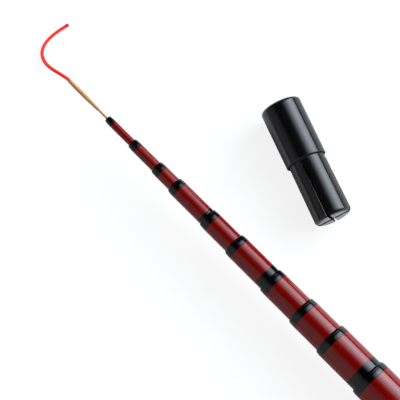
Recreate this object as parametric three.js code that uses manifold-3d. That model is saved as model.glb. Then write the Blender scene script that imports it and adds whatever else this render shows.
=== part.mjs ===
// A telescopic tenkara rod: ten nested tubes and a solid tip with a braided lilian cord,
// a cork grip with a screw-in butt cap, and the slotted plug that closes the handle's mouth.
// Millimetres. +X runs from the butt to the tip and +Z is up. The origin is the centre of
// the butt cap's flat end. The tubes stand partly drawn out, as they do on a table.

import * as THREE from "three";
import { mergeVertices } from "three/addons/utils/BufferGeometryUtils.js";
import Module from "manifold-3d";

const wasm = await Module();
wasm.setup();

// Turned pieces. Every radius is measured to the flats, so a piece lies on a flat.
const turnedSides = 24;

// Tubes, from section 1 at the tip to section 10, the handle.
const thinnestTubeLength = 318;
const tubeLengthStep = 3;
const mouthRoom = 11.7;
const tubeTaperShare = 0.00115;
const jointOverlap = 30;
const slideClearance = 0.05;
const tubeWall = 0.65;
const wallShares = [1.14, 0.96, 0.84, 1, 0.73, 1.03, 0.85, 1.05, 1.17, 1.2];
const tubeExposure = 19;
const exposureShares = [0.88, 0.86, 0.63, 1.15, 0.92, 1.25, 1.03, 0.97, 1.28];

// The rounded lip at a tube's mouth, and the lacquered red wrap behind it.
const lipLength = 1.3;
const lipDropShare = 0.8;
const lipSteps = 3;
const mouthBand = 4;
const wrapLength = 16.2;
const wrapThickness = 0.16;
const glueLine = 0.02;

// The solid tip section and the sleeve that holds the lilian on it.
const tipLength = 320;
const tipFrontDiameter = 1.12;
const tipTaperShare = 0.0035;
const tipShaftExposure = 6.1;
const sleeveLength = 19.7;
const sleeveRearRadius = 0.76;
const sleeveWidestRadius = 1.05;
const sleeveFrontRadius = 0.97;
const sleeveSocketShare = 0.6;
const sleeveShares = [[0.18, 0.42], [0.4, 0.88], [0.55, 1], [0.75, 1]];

// The lilian: a braided cord, knotted at its end. Its route starts at the sleeve's front.
const lilianDiameter = 1.6;
const lilianSides = 8;
const lilianSteps = 18;
const knotRadius = 1;
const knotSides = 8;
const knotRings = 6;
const lilianRoute = [
  [0, 0, 0], [1.6, 0, 0], [3.6, 0.3, -0.25], [7, 0.7, -1.6], [10.4, 0.72, -4.5],
  [13.95, 0.4, -8.15], [17.4, -0.15, -11.05], [20.5, -1.05, -12.4], [22.95, -2.45, -12.68],
  [24.75, -4.6, -12.68], [25.85, -7.3, -12.68], [26.3, -10.35, -12.68], [26.33, -13.4, -12.68],
  [26.05, -16.42, -12.68], [25.55, -19.22, -12.62], [25.25, -20.92, -12.48],
];

// The grip: a turned cork body between two end rings, and a winding check in front.
const gripRestRadius = 13.5;
const corkLength = 262;
const corkRearRadius = 12.8;
const corkWaistRadius = 12.3;
const corkFrontRadius = 11.6;
const corkRearSwellShares = [0.05, 0.1];
const corkWaistShares = [0.42, 0.6];
const corkFrontSwellShares = [0.9, 0.94];
const buttRingLength = 8;
const frontRingLength = 6;
const frontRingDrop = 0.5;
const checkLength = 7;
const checkLipLength = 1.5;
const checkRearDrop = 0.3;
const checkFrontWall = 0.5;
const edgeBreak = 0.6;

// The butt end: a cap that screws into an insert glued in the handle tube.
const runningGap = 0.3;
const capHeadLength = 6.5;
const capHeadRadius = 12.6;
const capChamfer = 1;
const capGrooveDepth = 0.6;
const capGrooveWidth = 1.4;
const insertLength = 14;
const insertWall = 1.45;
const sealPocketDepth = 2.2;
const sealPocketWall = 0.55;
const spigotLength = 12;
const sealRadius = 0.85;
const sealSides = 8;
const padThickness = 3.5;
const padRecessDepth = 1.5;
const padRecessWall = 0.9;

// The plug: a solid head, and a flared shank that a cross cut lets spring into the handle's mouth.
const plugHeadRadius = 9.85;
const plugHeadLength = 30;
const plugTopRound = 1.6;
const plugStepRound = 0.5;
const plugRoundSteps = 3;
const plugShankLength = 30;
const plugShankRootRadius = 8.78;
const plugShankEndRadius = 9.03;
const plugEndRound = 0.9;
const plugSlotWidth = 1;
const plugSlotStart = 3.1;
const plugStepPlace = [496.5, -52.95];
const plugHeading = THREE.MathUtils.degToRad(160);
const plugSlotRoll = THREE.MathUtils.degToRad(-18.2);
const cutOverrun = 1;

const finishes = {
  blackLacquer: { color: 0x0b0c10, roughness: 0.22, metalness: 0 },
  redLacquer: { color: 0x6a0a0c, roughness: 0.22, metalness: 0 },
  tanVarnish: { color: 0xc79a68, roughness: 0.45, metalness: 0 },
  redBraid: { color: 0xe41f24, roughness: 0.7, metalness: 0 },
  blackPlug: { color: 0x101114, roughness: 0.3, metalness: 0 },
  cork: { color: 0xb98a5c, roughness: 0.85, metalness: 0 },
  darkCork: { color: 0x2b211b, roughness: 0.8, metalness: 0 },
  blackAluminium: { color: 0x1b1c20, roughness: 0.35, metalness: 0.9 },
  brass: { color: 0xb08d3f, roughness: 0.35, metalness: 1 },
  blackRubber: { color: 0x141414, roughness: 0.75, metalness: 0 },
};

function mesh(name, geometry, finish) {
  const made = new THREE.Mesh(geometry, new THREE.MeshStandardMaterial(finishes[finish]));
  made.name = name;
  return made;
}

function mergedPositions(geometry) {
  geometry.deleteAttribute("normal");
  geometry.deleteAttribute("uv");
  return mergeVertices(geometry);
}

// Turns an outline of [x, radius] about the X axis. The outline runs forward along the
// outside, and either starts and ends on the axis or comes back along the bore.
function turned(outline, sides = turnedSides) {
  const toCorner = 1 / Math.cos(Math.PI / sides);
  const points = outline.map(([x, radius]) => new THREE.Vector2(radius * toCorner, x));
  const onAxis = outline[0][1] === 0 && outline.at(-1)[1] === 0;
  if (!onAxis) points.push(points[0].clone());
  const geometry = new THREE.LatheGeometry(points, sides, Math.PI / sides);
  geometry.rotateZ(-Math.PI / 2);
  return mergedPositions(geometry);
}

// Points of a quarter ellipse from the outside of an edge to its end face, both included.
function roundedEdge(x, radius, along, inward, steps, direction = 1) {
  const points = [];
  for (let step = 0; step <= steps; step += 1) {
    const angle = (step / steps) * (Math.PI / 2);
    points.push([
      x - direction * along * (1 - Math.sin(angle)),
      radius - inward * (1 - Math.cos(angle)),
    ]);
  }
  return direction > 0 ? points : points.reverse();
}

function toSolid(geometry) {
  const merged = mergedPositions(geometry);
  return new wasm.Manifold(new wasm.Mesh({
    numProp: 3,
    vertProperties: new Float32Array(merged.attributes.position.array),
    triVerts: new Uint32Array(merged.index.array),
  }));
}

function fromSolid(solid) {
  const result = solid.getMesh();
  const geometry = new THREE.BufferGeometry();
  geometry.setAttribute("position", new THREE.BufferAttribute(result.vertProperties, 3));
  geometry.setIndex(new THREE.BufferAttribute(result.triVerts, 1));
  return geometry;
}

// The handle tube holds the closed sections, with its insert behind them and room for the
// plug's shank and the lilian in front.
function tubeLength(index) {
  if (index < exposureShares.length) return thinnestTubeLength + index * tubeLengthStep;
  return insertLength + runningGap + tubeLength(index - 1) + plugShankLength + mouthRoom;
}

// Sizes of the ten tubes. Each bore lets the piece inside slide until its butt jams with
// the given overlap, so every tube follows from the tip, the walls and the clearance.
function tubeSizes() {
  const tubes = [];
  let insideButt = tipFrontDiameter + tipTaperShare * tipLength;
  wallShares.forEach((share, index) => {
    const length = tubeLength(index);
    const bore = insideButt - tubeTaperShare * jointOverlap + 2 * slideClearance;
    const outside = bore + 2 * tubeWall * share;
    insideButt = outside + tubeTaperShare * length;
    tubes.push({
      length,
      outsideRadius: (x) => (outside + tubeTaperShare * (length - x)) / 2,
      boreRadius: (x) => (bore + tubeTaperShare * (length - x)) / 2,
      wall: tubeWall * share,
    });
  });
  return tubes;
}

// One tube with its butt at x = 0: a rounded lip in front, and a shallow seat for the wrap.
function tubeGeometry({ length, outsideRadius, boreRadius, wall }) {
  const seatFront = length - mouthBand;
  const seatRear = seatFront - wrapLength - 2 * glueLine;
  const seatDepth = wrapThickness + glueLine;
  return turned([
    [0, boreRadius(0)],
    [0, outsideRadius(0)],
    [seatRear, outsideRadius(seatRear)],
    [seatRear, outsideRadius(seatRear) - seatDepth],
    [seatFront, outsideRadius(seatFront) - seatDepth],
    [seatFront, outsideRadius(seatFront)],
    ...roundedEdge(length, outsideRadius(length), lipLength, wall * lipDropShare, lipSteps),
    [length, boreRadius(length)],
  ]);
}

function wrapGeometry({ length, outsideRadius }) {
  const front = length - mouthBand - glueLine;
  const rear = front - wrapLength;
  return turned([
    [rear, outsideRadius(rear) - wrapThickness],
    [rear, outsideRadius(rear)],
    [front, outsideRadius(front)],
    [front, outsideRadius(front) - wrapThickness],
  ]);
}

// The solid tip section, its lilian sleeve and the lilian, with the section's butt at x = 0.
const sleeveRear = tipLength - sleeveLength;

function tipRadius(x) {
  return (tipFrontDiameter + tipTaperShare * (tipLength - x)) / 2;
}

function tipRodGeometry() {
  const front = sleeveRear + sleeveLength * sleeveSocketShare - runningGap;
  return turned([[0, 0], [0, tipRadius(0)], [front, tipRadius(front)], [front, 0]]);
}

function sleeveGeometry() {
  const socketEnd = sleeveRear + sleeveLength * sleeveSocketShare;
  const socketRadius = tipRadius(sleeveRear) + glueLine;
  const swell = sleeveWidestRadius - sleeveRearRadius;
  return turned([
    [socketEnd, 0],
    [socketEnd, socketRadius],
    [sleeveRear, socketRadius],
    [sleeveRear, sleeveRearRadius],
    ...sleeveShares.map(([along, share]) => [
      sleeveRear + sleeveLength * along,
      sleeveRearRadius + swell * share,
    ]),
    [tipLength, sleeveFrontRadius],
    [tipLength, 0],
  ]);
}

function lilianGeometry() {
  const points = lilianRoute.map(([x, y, z]) => new THREE.Vector3(x, y, z));
  points[0].x += runningGap;
  const route = new THREE.CatmullRomCurve3(points);
  const section = new THREE.Shape();
  for (let side = 0; side < lilianSides; side += 1) {
    const angle = ((side + 0.5) / lilianSides) * 2 * Math.PI;
    const corner = [lilianDiameter / 2 * Math.cos(angle), lilianDiameter / 2 * Math.sin(angle)];
    if (side === 0) section.moveTo(...corner);
    else section.lineTo(...corner);
  }
  section.closePath();
  const cord = new THREE.ExtrudeGeometry(section, { steps: lilianSteps, extrudePath: route });
  const knot = new THREE.SphereGeometry(knotRadius, knotSides, knotRings);
  knot.translate(...points.at(-1).toArray());
  return fromSolid(toSolid(cord).add(toSolid(knot)));
}

// The grip's pieces, in the handle tube's own x. Each bore is the tube with a glue line.
const corkRear = buttRingLength;
const corkFront = corkRear + corkLength;
const frontRingFront = corkFront + frontRingLength;
const checkFront = frontRingFront + checkLength;

function onTube(handle, outside) {
  const rear = outside[0][0];
  const front = outside.at(-1)[0];
  return turned([
    [rear, handle.outsideRadius(rear) + glueLine],
    ...outside,
    [front, handle.outsideRadius(rear) + glueLine],
  ]);
}

function buttRingGeometry(handle) {
  return onTube(handle, [
    [0, corkRearRadius - edgeBreak],
    [edgeBreak, corkRearRadius],
    [buttRingLength, corkRearRadius],
  ]);
}

function corkGeometry(handle) {
  const at = (share) => corkRear + corkLength * share;
  return onTube(handle, [
    [corkRear, corkRearRadius],
    ...corkRearSwellShares.map((share) => [at(share), gripRestRadius]),
    ...corkWaistShares.map((share) => [at(share), corkWaistRadius]),
    ...corkFrontSwellShares.map((share) => [at(share), gripRestRadius]),
    [corkFront, corkFrontRadius],
  ]);
}

function frontRingGeometry(handle) {
  return onTube(handle, [
    [corkFront, corkFrontRadius],
    [frontRingFront - edgeBreak, corkFrontRadius - frontRingDrop + edgeBreak / 2],
    [frontRingFront, corkFrontRadius - frontRingDrop - edgeBreak / 2],
  ]);
}

function checkGeometry(handle) {
  const rearRadius = corkFrontRadius - frontRingDrop - edgeBreak - checkRearDrop;
  return onTube(handle, [
    [frontRingFront, rearRadius],
    [frontRingFront + checkLipLength, rearRadius],
    [checkFront, handle.outsideRadius(checkFront) + checkFrontWall],
  ]);
}

// The insert in the tube's butt, with the seal's pocket behind its threaded bore.
function insertRadii(handle) {
  const outside = handle.boreRadius(insertLength) - glueLine;
  return { outside, thread: outside - insertWall, pocket: outside - sealPocketWall };
}

function insertGeometry(handle) {
  const { outside, thread, pocket } = insertRadii(handle);
  return turned([
    [0, pocket],
    [0, outside],
    [insertLength, outside],
    [insertLength, thread],
    [sealPocketDepth, thread],
    [sealPocketDepth, pocket],
  ]);
}

// The cap, with its flat end at x = 0: a grooved head, and a spigot with a seat for the
// seal at its root and a recess for the damping pad at its end.
function spigotRadii(handle) {
  const spigot = insertRadii(handle).thread - runningGap;
  const sealSeat = insertRadii(handle).pocket - runningGap - 2 * sealRadius;
  return { spigot, sealSeat, padRecess: spigot - padRecessWall };
}

function capGeometry(handle) {
  const { spigot, sealSeat, padRecess } = spigotRadii(handle);
  const grooveRear = (capHeadLength - capGrooveWidth) / 2;
  const spigotFront = capHeadLength + spigotLength;
  const seatFront = capHeadLength + runningGap + sealPocketDepth - runningGap / 2;
  return turned([
    [0, 0],
    [0, capHeadRadius - capChamfer],
    [capChamfer, capHeadRadius],
    [grooveRear, capHeadRadius],
    [grooveRear + capGrooveDepth / 2, capHeadRadius - capGrooveDepth],
    [grooveRear + capGrooveWidth - capGrooveDepth / 2, capHeadRadius - capGrooveDepth],
    [grooveRear + capGrooveWidth, capHeadRadius],
    [capHeadLength - capChamfer / 2, capHeadRadius],
    [capHeadLength, capHeadRadius - capChamfer / 2],
    [capHeadLength, sealSeat - glueLine],
    [seatFront, sealSeat - glueLine],
    [seatFront, spigot],
    [spigotFront - edgeBreak, spigot],
    [spigotFront, spigot - edgeBreak],
    [spigotFront, padRecess],
    [spigotFront - padRecessDepth, padRecess],
    [spigotFront - padRecessDepth, 0],
  ]);
}

function sealGeometry(handle) {
  const { sealSeat } = spigotRadii(handle);
  const centre = [capHeadLength + glueLine + sealRadius, sealSeat + sealRadius];
  const outline = [];
  for (let side = 0; side < sealSides; side += 1) {
    const angle = ((side + 0.5) / sealSides) * 2 * Math.PI;
    outline.push([
      centre[0] - sealRadius * Math.cos(angle),
      centre[1] + sealRadius * Math.sin(angle),
    ]);
  }
  return turned(outline);
}

function padGeometry(handle) {
  const { padRecess } = spigotRadii(handle);
  const rear = capHeadLength + spigotLength - padRecessDepth + glueLine;
  const radius = padRecess - runningGap;
  return turned([
    [rear, 0],
    [rear, radius],
    [rear + padThickness - edgeBreak, radius],
    [rear + padThickness, radius - edgeBreak],
    [rear + padThickness, 0],
  ]);
}

// The plug along its own X axis, with the step under its head at x = 0 and the shank ahead.
function plugGeometry() {
  const shankRadiusAt = (x) => THREE.MathUtils.lerp(
    plugShankRootRadius, plugShankEndRadius, x / plugShankLength);
  const body = toSolid(turned([
    [-plugHeadLength, 0],
    ...roundedEdge(-plugHeadLength, plugHeadRadius, plugTopRound, plugTopRound, plugRoundSteps, -1),
    [-plugStepRound, plugHeadRadius],
    [0, plugHeadRadius - plugStepRound],
    [0, plugShankRootRadius],
    [plugShankLength - plugEndRound, shankRadiusAt(plugShankLength - plugEndRound)],
    ...roundedEdge(
      plugShankLength, shankRadiusAt(plugShankLength), plugEndRound, plugEndRound, plugRoundSteps,
    ).slice(1),
    [plugShankLength, 0],
  ]));
  const cutLength = plugShankLength - plugSlotStart + cutOverrun;
  const cutHeight = 2 * plugHeadRadius;
  const slot = (roll) => {
    const cut = new THREE.BoxGeometry(cutLength, plugSlotWidth, cutHeight);
    cut.translate(plugSlotStart + cutLength / 2, 0, 0);
    cut.rotateX(roll);
    return toSolid(cut);
  };
  return fromSolid(
    body.subtract(slot(-plugSlotRoll)).subtract(slot(-plugSlotRoll + Math.PI / 2)));
}

function addGrip(holder, handle) {
  holder.add(
    mesh("grip_butt_ring", buttRingGeometry(handle), "darkCork"),
    mesh("cork_grip", corkGeometry(handle), "cork"),
    mesh("grip_front_ring", frontRingGeometry(handle), "darkCork"),
    mesh("winding_check", checkGeometry(handle), "blackAluminium"),
    mesh("threaded_insert", insertGeometry(handle), "brass"),
  );
}

function addCap(holder, handle) {
  holder.add(
    mesh("butt_cap", capGeometry(handle), "blackAluminium"),
    mesh("cap_seal_ring", sealGeometry(handle), "blackRubber"),
    mesh("damping_pad", padGeometry(handle), "blackRubber"),
  );
}

function addTip(holder) {
  holder.add(
    mesh("tip_rod", tipRodGeometry(), "tanVarnish"),
    mesh("lilian_sleeve", sleeveGeometry(), "tanVarnish"),
  );
  const lilian = mesh("lilian", lilianGeometry(), "redBraid");
  lilian.position.x = tipLength;
  holder.add(lilian);
}

function addPlug(holder) {
  const plug = mesh("mouth_plug", plugGeometry(), "blackPlug");
  plug.position.set(...plugStepPlace, plugHeadRadius - gripRestRadius);
  plug.rotation.z = plugHeading;
  holder.add(plug);
}

// Each section rides in the next wider one, from the handle out to the tip.
function addSections(rod, tubes) {
  let holder = new THREE.Group();
  holder.position.x = capHeadLength + runningGap;
  rod.add(holder);
  for (let index = tubes.length - 1; index >= 0; index -= 1) {
    const tube = tubes[index];
    const isHandle = index === tubes.length - 1;
    const name = isHandle ? "handle" : `section_${index + 1}`;
    if (!isHandle) {
      const section = new THREE.Group();
      section.position.x =
        tubeExposure * exposureShares[index] + tubes[index + 1].length - tube.length;
      holder.add(section);
      holder = section;
    }
    holder.add(mesh(`${name}_tube`, tubeGeometry(tube), "blackLacquer"));
    holder.add(mesh(`${name}_red_wrap`, wrapGeometry(tube), "redLacquer"));
    if (isHandle) addGrip(holder, tube);
  }
  const tip = new THREE.Group();
  tip.position.x = tipShaftExposure + sleeveLength + tubes[0].length - tipLength;
  holder.add(tip);
  addTip(tip);
}

const rod = new THREE.Group();
const tubes = tubeSizes();
addSections(rod, tubes);
addCap(rod, tubes.at(-1));
addPlug(rod);

export default rod;
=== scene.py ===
"""Dresses a telescopic tenkara rod: lacquered tubes, cork grip, butt cap, plug and lilian.

Metres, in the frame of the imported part: +X from the butt to the tip, +Z up.
"""

import math

import bmesh
import bpy
from bpy.props import FloatProperty, FloatVectorProperty, IntProperty, PointerProperty
from bpy.types import NodeSocket, Operator, Panel, PropertyGroup
from mathutils import Matrix, Vector, noise


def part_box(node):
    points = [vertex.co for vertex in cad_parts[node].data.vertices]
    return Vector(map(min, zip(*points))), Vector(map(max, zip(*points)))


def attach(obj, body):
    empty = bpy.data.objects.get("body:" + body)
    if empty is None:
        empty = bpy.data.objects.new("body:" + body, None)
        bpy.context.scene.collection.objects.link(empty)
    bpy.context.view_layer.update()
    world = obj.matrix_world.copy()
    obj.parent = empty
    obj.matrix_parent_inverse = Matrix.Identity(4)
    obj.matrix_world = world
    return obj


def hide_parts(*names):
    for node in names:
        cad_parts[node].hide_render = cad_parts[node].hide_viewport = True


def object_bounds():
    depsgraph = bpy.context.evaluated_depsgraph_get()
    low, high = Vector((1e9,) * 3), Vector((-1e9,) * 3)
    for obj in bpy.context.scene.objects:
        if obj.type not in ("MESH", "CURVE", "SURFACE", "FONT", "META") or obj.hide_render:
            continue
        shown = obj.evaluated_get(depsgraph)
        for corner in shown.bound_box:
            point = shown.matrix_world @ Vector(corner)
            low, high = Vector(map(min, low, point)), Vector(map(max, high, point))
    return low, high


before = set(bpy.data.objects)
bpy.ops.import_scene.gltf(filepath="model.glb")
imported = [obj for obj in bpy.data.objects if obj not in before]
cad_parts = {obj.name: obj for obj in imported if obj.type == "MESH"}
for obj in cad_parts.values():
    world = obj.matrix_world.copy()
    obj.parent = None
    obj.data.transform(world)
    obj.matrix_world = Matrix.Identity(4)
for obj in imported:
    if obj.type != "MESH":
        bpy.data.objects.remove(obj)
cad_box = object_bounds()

bl_info = {
    "name": "Tenkara Rod",
    "version": (1, 0, 0),
    "blender": (4, 5, 0),
    "location": "View3D > Sidebar > Tenkara Rod",
    "description": "Builds a telescopic tenkara rod with its grip, butt cap, plug and lilian",
    "category": "Object",
}

MM = 0.001
FULL_TURN = 2 * math.pi
SECTIONS = ["handle"] + [f"section_{number}" for number in range(9, 0, -1)]


def size(name, description, millimetres):
    return FloatProperty(
        name=name, description=description, default=millimetres * MM, min=0,
        unit="LENGTH", subtype="DISTANCE", precision=5,
    )


def colour(name, description, value):
    return FloatVectorProperty(
        name=name, description=description, default=value, size=3, min=0, max=1,
        subtype="COLOR",
    )


def number(name, description, value):
    return FloatProperty(name=name, description=description, default=value, min=0)


class TubeLook(PropertyGroup):
    lip: size("Lip", "Length of the rounded lip at a tube's mouth", 1.3)
    lip_drop: number("Lip drop", "Share of the wall that the lip's curve takes", 0.72)
    band_crown: size("Band crown", "How far the black mouth band falls away towards the lip", 0.11)
    taper: number("Taper", "Loss of radius along a tube, as a share of length", 0.000575)
    wrap_depth: size("Wrap depth", "Thickness of the red wrap", 0.16)
    glue_line: size("Glue line", "Gap between a wrap and its seat", 0.02)
    ground_joint: size("Ground joint", "Length of the butt that is ground matt to grip", 31)
    sides: IntProperty(name="Sides", description="Faces round a tube", default=96, min=24)
    black: colour("Black", "Colour of the black lacquer", (0.0013, 0.0013, 0.0018))
    red: colour("Red", "Colour of the red lacquer", (0.182, 0.0018, 0.0013))
    laminate: colour("Laminate", "Colour of the bare laminate", (0.018, 0.018, 0.019))


class TipLook(PropertyGroup):
    taper: number("Taper", "Loss of radius along the tip section, as a share of length", 0.00175)
    winding: size("Winding", "Pitch of the thread wound under the sleeve's varnish", 0.16)
    mouth_depth: size("Mouth depth", "Depth of the socket that the lilian sits in", 1.5)
    tan: colour("Tan", "Colour of the varnish", (0.57, 0.305, 0.115))


class LilianLook(PropertyGroup):
    width: size("Width", "Diameter of the knitted cord", 1.62)
    knot_width: size("Knot width", "Diameter of the sealed knot at the end", 1.86)
    stitch: size("Stitch", "Length of one stitch", 0.62)
    twist: size("Twist", "Length over which the columns of stitches turn by one column", 120)
    first_column: number("First column", "Turn of the columns at the sleeve, in columns", 0.34)
    relief: size("Relief", "Height of the stitches", 0.2)
    red: colour("Red", "Colour of the yarn", (1.0, 0.044, 0.03))
    # Painted shade: the colour laid deep between the stitches.
    gap: colour("Gap", "Colour deep between the stitches", (0.3, 0.004, 0.006))
    knot: colour("Knot", "Colour of the sealed knot", (0.46, 0.006, 0.012))
    # Painted light: the yarn glows at a fixed strength under any lamp, standing in for its
    # fluorescent dye.
    painted_glow: number("Fluorescence", "Light that the yarn's fluorescent dye gives off", 0.5)


class GripLook(PropertyGroup):
    disc: size("Disc", "Length of one of the cork discs that the grip is glued from", 12.7)
    pit: size("Pit", "Depth of the largest pits in the cork", 0.32)
    grain: size("Grain", "Spacing of the mesh that carries the pits", 0.85)
    cork: colour("Cork", "Colour of the cork", (0.36, 0.2, 0.09))
    vein: colour("Vein", "Colour of the pits and veins in the cork", (0.06, 0.026, 0.012))
    ring: colour("Ring", "Colour of the composite cork rings", (0.028, 0.016, 0.011))


class CapLook(PropertyGroup):
    tooth: size("Tooth", "Width of one tooth of the knurl", 1.1)
    tooth_depth: size("Tooth depth", "Depth of the knurl", 0.22)
    thread_pitch: size("Thread pitch", "Pitch of the cap's thread", 1)
    thread_depth: size("Thread depth", "Depth of the cap's thread", 0.4)
    black: colour("Black", "Colour of the anodised aluminium", (0.012, 0.012, 0.015))
    brass: colour("Brass", "Colour of the insert", (0.43, 0.27, 0.05))
    rubber: colour("Rubber", "Colour of the seal and the pad", (0.012, 0.012, 0.012))


class PlugLook(PropertyGroup):
    head_length: size("Head length", "Length of the plug's head", 30)
    shank_length: size("Shank length", "Length of the plug's slit shank", 30.2)
    head_radius: size("Head radius", "Radius of the head", 9.85)
    root_radius: size("Root radius", "Radius of the shank under the head", 8.78)
    end_radius: size("End radius", "Radius of the shank at its end", 9.03)
    top_round: size("Top round", "Rounding of the head's top", 1.6)
    end_round: size("End round", "Rounding of the shank's end", 1.8)
    slit_round: size("Slit round", "Rounding of the slits' edges", 0.14)
    slit_offset: size("Slit offset", "Distance of the first slit from the plug's middle", 0.6)
    # Painted highlight: where the pale line on the first slit's rim starts.
    rim_highlight_start: size("Flash start", "Place on the shank where the mould's flash starts", 7)
    slit_width: size("Slit width", "Width of the first slit", 1.4)
    cross_width: size("Cross width", "Width of the slit across the first", 2)
    slit_start: size("Slit start", "Solid shank between the head and the slits", 2.7)
    black: colour("Black", "Colour of the moulded plastic", (0.003, 0.003, 0.0035))
    # Painted highlight: colour of the pale line on the first slit's rim.
    painted_rim_highlight: colour("Flash", "Colour of the mould's flash", (0.5, 0.5, 0.48))
    cut: colour("Cut", "Colour of the plastic on the walls of the slits", (0.004, 0.004, 0.004))
    # Painted reflection: the ground end face is pale grey for the white floor it faces.
    ground: colour("Ground", "Colour of the plastic on the ground end face", (0.38, 0.365, 0.35))


class StageLook(PropertyGroup):
    lens: number("Lens", "Focal length of the camera, in millimetres", 195.3)
    floor: number("Floor", "Brightness of the floor where it lights the rod", 0.86)
    far_floor: number("Far floor", "Brightness of the floor on the rod's dark side", 0.3)
    shadow: number("Shadow", "Share of the floor's light that the camera sees shadows in", 0.16)
    glow: number("Glow", "What the floor adds where the camera or glass sees it", 0.86)
    gloss_glow: number("Gloss glow", "What the floor adds in the reflections of gloss", 0.055)
    key: number("Key", "Brightness of the soft light beside the rod", 8.9)
    key_colour: colour("Key colour", "Colour of the soft light", (0.8, 0.865, 0.965))
    fill: number("Fill", "Brightness of the studio on the other side", 0.43)
    lamp: number("Lamp", "Power of the lamp beside the rod, in watts", 50)
    low_lamp: number("Low lamp", "Power of the low lamp on the other side, in watts", 18)


LOOKS = {
    "rod_tubes": TubeLook,
    "rod_tip": TipLook,
    "rod_lilian": LilianLook,
    "rod_grip": GripLook,
    "rod_cap": CapLook,
    "rod_plug": PlugLook,
    "rod_stage": StageLook,
}


# Shader nodes

def feed(socket, value):
    """Links a socket, or sets it where the value is a plain one."""
    if isinstance(value, NodeSocket):
        socket.id_data.links.new(value, socket)
    else:
        socket.default_value = value


def node(kind, inputs, tree=None, **settings):
    """Adds a shader node, sets its properties, and feeds its inputs by name or number.

    Where no tree is named, it goes into the tree of the first socket that feeds it.
    """
    if tree is None:
        tree = next(value.id_data for value in inputs.values() if isinstance(value, NodeSocket))
    made = tree.nodes.new("ShaderNode" + kind)
    for name, value in settings.items():
        setattr(made, name, value)
    for name, value in inputs.items():
        feed(made.inputs[name], value)
    return made


def shader(kind, inputs, tree=None):
    """Adds a node that puts out a shader, and returns that output."""
    return node(kind, inputs, tree).outputs[0]


def maths(operation, *values):
    return node("Math", dict(enumerate(values)), operation=operation).outputs[0]


def times(first, second):
    return maths("MULTIPLY", first, second)


def ramp(value, low, high, to_low=0.0, to_high=1.0, smooth=True):
    """Maps value from low..high to to_low..to_high, held at both ends."""
    made = node("MapRange", {
        "Value": value, "From Min": low, "From Max": high, "To Min": to_low, "To Max": to_high},
        interpolation_type="SMOOTHSTEP" if smooth else "LINEAR")
    return made.outputs["Result"]


def blended(share, first, second):
    """A colour from first, at share 0, to second, at share 1."""
    return node("Mix", {0: share, 6: first, 7: second}, data_type="RGBA").outputs[2]


def over(below, mask, share, above):
    """Lays a colour over another by a share of a mask."""
    return blended(times(mask, share), below, above)


def scaled(vector, x, y, z):
    return node("Mapping", {"Vector": vector, "Scale": (x, y, z)}).outputs["Vector"]


def axes(vector):
    return node("SeparateXYZ", {"Vector": vector}).outputs


def noisy(vector, scale, detail=2.0, **inputs):
    """Noise from 0 to 1. The other inputs are named as on its node."""
    made = node("TexNoise", {"Vector": vector, "Scale": scale, "Detail": detail, **inputs})
    return made.outputs["Fac"]


def cells(vector, scale, **settings):
    """The outputs of a pattern of irregular cells."""
    made = node("TexVoronoi", {"Vector": vector, "Scale": scale, "Randomness": 1.0}, **settings)
    return made.outputs


def chance(pattern, channel):
    """A number from 0 to 1 that each cell of a pattern has for its own."""
    return node("SeparateColor", {"Color": pattern["Color"]}).outputs[channel]


def rgba(rgb, share=1.0):
    return (*[channel * share for channel in rgb], 1.0)


def group(name, inputs, outputs):
    """Starts a shader node group and returns its inputs and a function that ends it.

    The input named Vector is a vector, and all other sockets are numbers.
    """
    tree = bpy.data.node_groups.new(name, "ShaderNodeTree")
    for way, labels in (("INPUT", inputs), ("OUTPUT", outputs)):
        for label in labels:
            kind = "NodeSocketVector" if label == "Vector" else "NodeSocketFloat"
            tree.interface.new_socket(label, in_out=way, socket_type=kind)
    entry = tree.nodes.new("NodeGroupInput")
    leave = tree.nodes.new("NodeGroupOutput")

    def end(**sockets):
        for label, socket in sockets.items():
            feed(leave.inputs[label], socket)
        return tree

    return entry.outputs, end


def lacquer_skin():
    """The slow ripple of a dipped finish, and dust that settled in it."""
    given, end = group(
        "Lacquer Skin", ("Vector", "Ripple Scale", "Dust Scale"), ("Height", "Dust", "Sheen"))
    broad = noisy(given["Vector"], given["Ripple Scale"], 1.0)
    fine = noisy(given["Vector"], times(given["Ripple Scale"], 4.3))
    specks = cells(given["Vector"], given["Dust Scale"])
    near = ramp(specks["Distance"], 0.02, 0.05, 1.0, 0.0)
    rare = maths("GREATER_THAN", chance(specks, "Red"), 0.94)
    return end(
        Height=maths("ADD", broad, times(fine, 0.25)),
        Dust=times(near, rare),
        Sheen=ramp(broad, 0.3, 0.7),
    )


def hairlines():
    """Fine scratches along the rod, from sliding one tube in the next."""
    given, end = group("Hairlines", ("Vector", "Scale", "Stretch"), ("Mask",))
    stretch = node("CombineXYZ", {"X": given["Stretch"], "Y": 1.0, "Z": 1.0})
    along = node("VectorMath", {
        0: given["Vector"], 1: stretch.outputs["Vector"]}, operation="MULTIPLY")
    streaks = noisy(along.outputs["Vector"], given["Scale"], 3.0)
    return end(Mask=ramp(streaks, 0.58, 0.7))


def turned_marks():
    """Rings left by a lathe on the sides and the end faces of a piece turned about X."""
    given, end = group("Turned Marks", ("Vector", "Pitch"), ("Height",))
    split = axes(given["Vector"])
    flat = node("CombineXYZ", {"Y": split["Y"], "Z": split["Z"]})
    radius = node("VectorMath", {0: flat.outputs["Vector"]}, operation="LENGTH")
    way = maths("ADD", split["X"], radius.outputs["Value"])
    turns = maths("DIVIDE", way, given["Pitch"])
    wobble = node("TexNoise", {"W": turns, "Scale": 0.9, "Detail": 2.0}, noise_dimensions="1D")
    wave = maths("SINE", times(turns, FULL_TURN))
    return end(Height=maths("MULTIPLY_ADD", wave, 0.3, wobble.outputs["Fac"]))


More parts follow.
